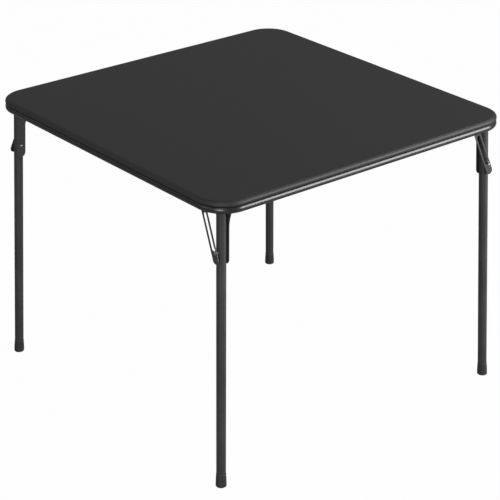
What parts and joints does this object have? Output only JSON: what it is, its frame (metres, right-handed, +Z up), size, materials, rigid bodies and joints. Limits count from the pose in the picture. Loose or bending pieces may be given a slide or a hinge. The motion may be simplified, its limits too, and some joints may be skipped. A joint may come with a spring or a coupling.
{
  "type": "folding card table",
  "caption": "Square folding card table with a padded black vinyl top on a steel rail, and splayed black tubular legs that fold under it on slotted straps.",
  "frame": {"origin": "centre of the table's footprint, on the floor", "axes": "+Z up; the table's sides lie along X and Y; -Y is the front"},
  "size_m": [0.864, 0.864, 0.6885],
  "materials": {
    "black_vinyl": "fine matte grain",
    "foam": "open foam",
    "hardboard": "pressed hardboard",
    "black_enamel": "semi-gloss black enamel",
    "bright_rivet": "darkened steel rivet",
    "zinc_screw": "zinc plated",
    "black_foot": "satin black cap"
  },
  "bodies": {
    "top": {"vinyl_cover": "black_vinyl", "foam_pad": "foam", "top_panel": "hardboard", "rail_front": "black_enamel", "rail_right": "black_enamel", "rail_back": "black_enamel", "rail_left": "black_enamel", "panel_clips": "black_enamel", "panel_screws": "zinc_screw", "corner_bend_front_left": "black_enamel", "corner_bracket_front_left": "black_enamel", "hinge_pin_front_left": "bright_rivet", "brace_pivot_front_left": "bright_rivet", "corner_bend_front_right": "black_enamel", "corner_bracket_front_right": "black_enamel", "hinge_pin_front_right": "bright_rivet", "brace_pivot_front_right": "bright_rivet", "corner_bend_back_right": "black_enamel", "corner_bracket_back_right": "black_enamel", "hinge_pin_back_right": "bright_rivet", "brace_pivot_back_right": "bright_rivet", "corner_bend_back_left": "black_enamel", "corner_bracket_back_left": "black_enamel", "hinge_pin_back_left": "bright_rivet", "brace_pivot_back_left": "bright_rivet"},
    "leg_front_left": {"leg_tube_front_left": "black_enamel", "leg_plate_front_left": "black_enamel", "leg_rivet_front_left": "bright_rivet", "rivet_spacer_front_left": "black_enamel", "foot_cap_front_left": "black_foot"},
    "strap_front_left": {"brace_front_left": "black_enamel"},
    "leg_front_right": {"leg_tube_front_right": "black_enamel", "leg_plate_front_right": "black_enamel", "leg_rivet_front_right": "bright_rivet", "rivet_spacer_front_right": "black_enamel", "foot_cap_front_right": "black_foot"},
    "strap_front_right": {"brace_front_right": "black_enamel"},
    "leg_back_right": {"leg_tube_back_right": "black_enamel", "leg_plate_back_right": "black_enamel", "leg_rivet_back_right": "bright_rivet", "rivet_spacer_back_right": "black_enamel", "foot_cap_back_right": "black_foot"},
    "strap_back_right": {"brace_back_right": "black_enamel"},
    "leg_back_left": {"leg_tube_back_left": "black_enamel", "leg_plate_back_left": "black_enamel", "leg_rivet_back_left": "bright_rivet", "rivet_spacer_back_left": "black_enamel", "foot_cap_back_left": "black_foot"},
    "strap_back_left": {"brace_back_left": "black_enamel"}
  },
  "joints": [
    {"name": "leg_fold_front_left", "type": "hinge", "parent": "top", "child": "leg_front_left", "pos_m": [-0.3913, -0.3913, 0.6557], "axis": [0.9994, 0, -0.0337], "range_deg": [0, 91.93]},
    {"name": "strap_turn_front_left", "type": "hinge", "parent": "top", "child": "strap_front_left", "pos_m": [-0.40769, -0.3514, 0.65625], "axis": [0.9994, 0, -0.0337], "range_deg": [0, 113.3]},
    {"name": "leg_fold_front_right", "type": "hinge", "parent": "top", "child": "leg_front_right", "pos_m": [0.3913, -0.3913, 0.6557], "axis": [0, 0.9994, -0.0337], "range_deg": [0, 91.93]},
    {"name": "strap_turn_front_right", "type": "hinge", "parent": "top", "child": "strap_front_right", "pos_m": [0.3514, -0.40769, 0.65625], "axis": [0, 0.9994, -0.0337], "range_deg": [0, 113.3]},
    {"name": "leg_fold_back_right", "type": "hinge", "parent": "top", "child": "leg_back_right", "pos_m": [0.3913, 0.3913, 0.6557], "axis": [-0.9994, 0, -0.0337], "range_deg": [0, 91.93]},
    {"name": "strap_turn_back_right", "type": "hinge", "parent": "top", "child": "strap_back_right", "pos_m": [0.40769, 0.3514, 0.65625], "axis": [-0.9994, 0, -0.0337], "range_deg": [0, 113.3]},
    {"name": "leg_fold_back_left", "type": "hinge", "parent": "top", "child": "leg_back_left", "pos_m": [-0.3913, 0.3913, 0.6557], "axis": [0, -0.9994, -0.0337], "range_deg": [0, 91.93]},
    {"name": "strap_turn_back_left", "type": "hinge", "parent": "top", "child": "strap_back_left", "pos_m": [-0.3514, 0.40769, 0.65625], "axis": [0, -0.9994, -0.0337], "range_deg": [0, 113.3]}
  ],
  "couplings": [
    {"joint": "strap_turn_front_left", "follows": "leg_fold_front_left", "ratio": 1.2314},
    {"joint": "strap_turn_front_right", "follows": "leg_fold_front_right", "ratio": 1.2314},
    {"joint": "strap_turn_back_right", "follows": "leg_fold_back_right", "ratio": 1.2314},
    {"joint": "strap_turn_back_left", "follows": "leg_fold_back_left", "ratio": 1.2314}
  ]
}
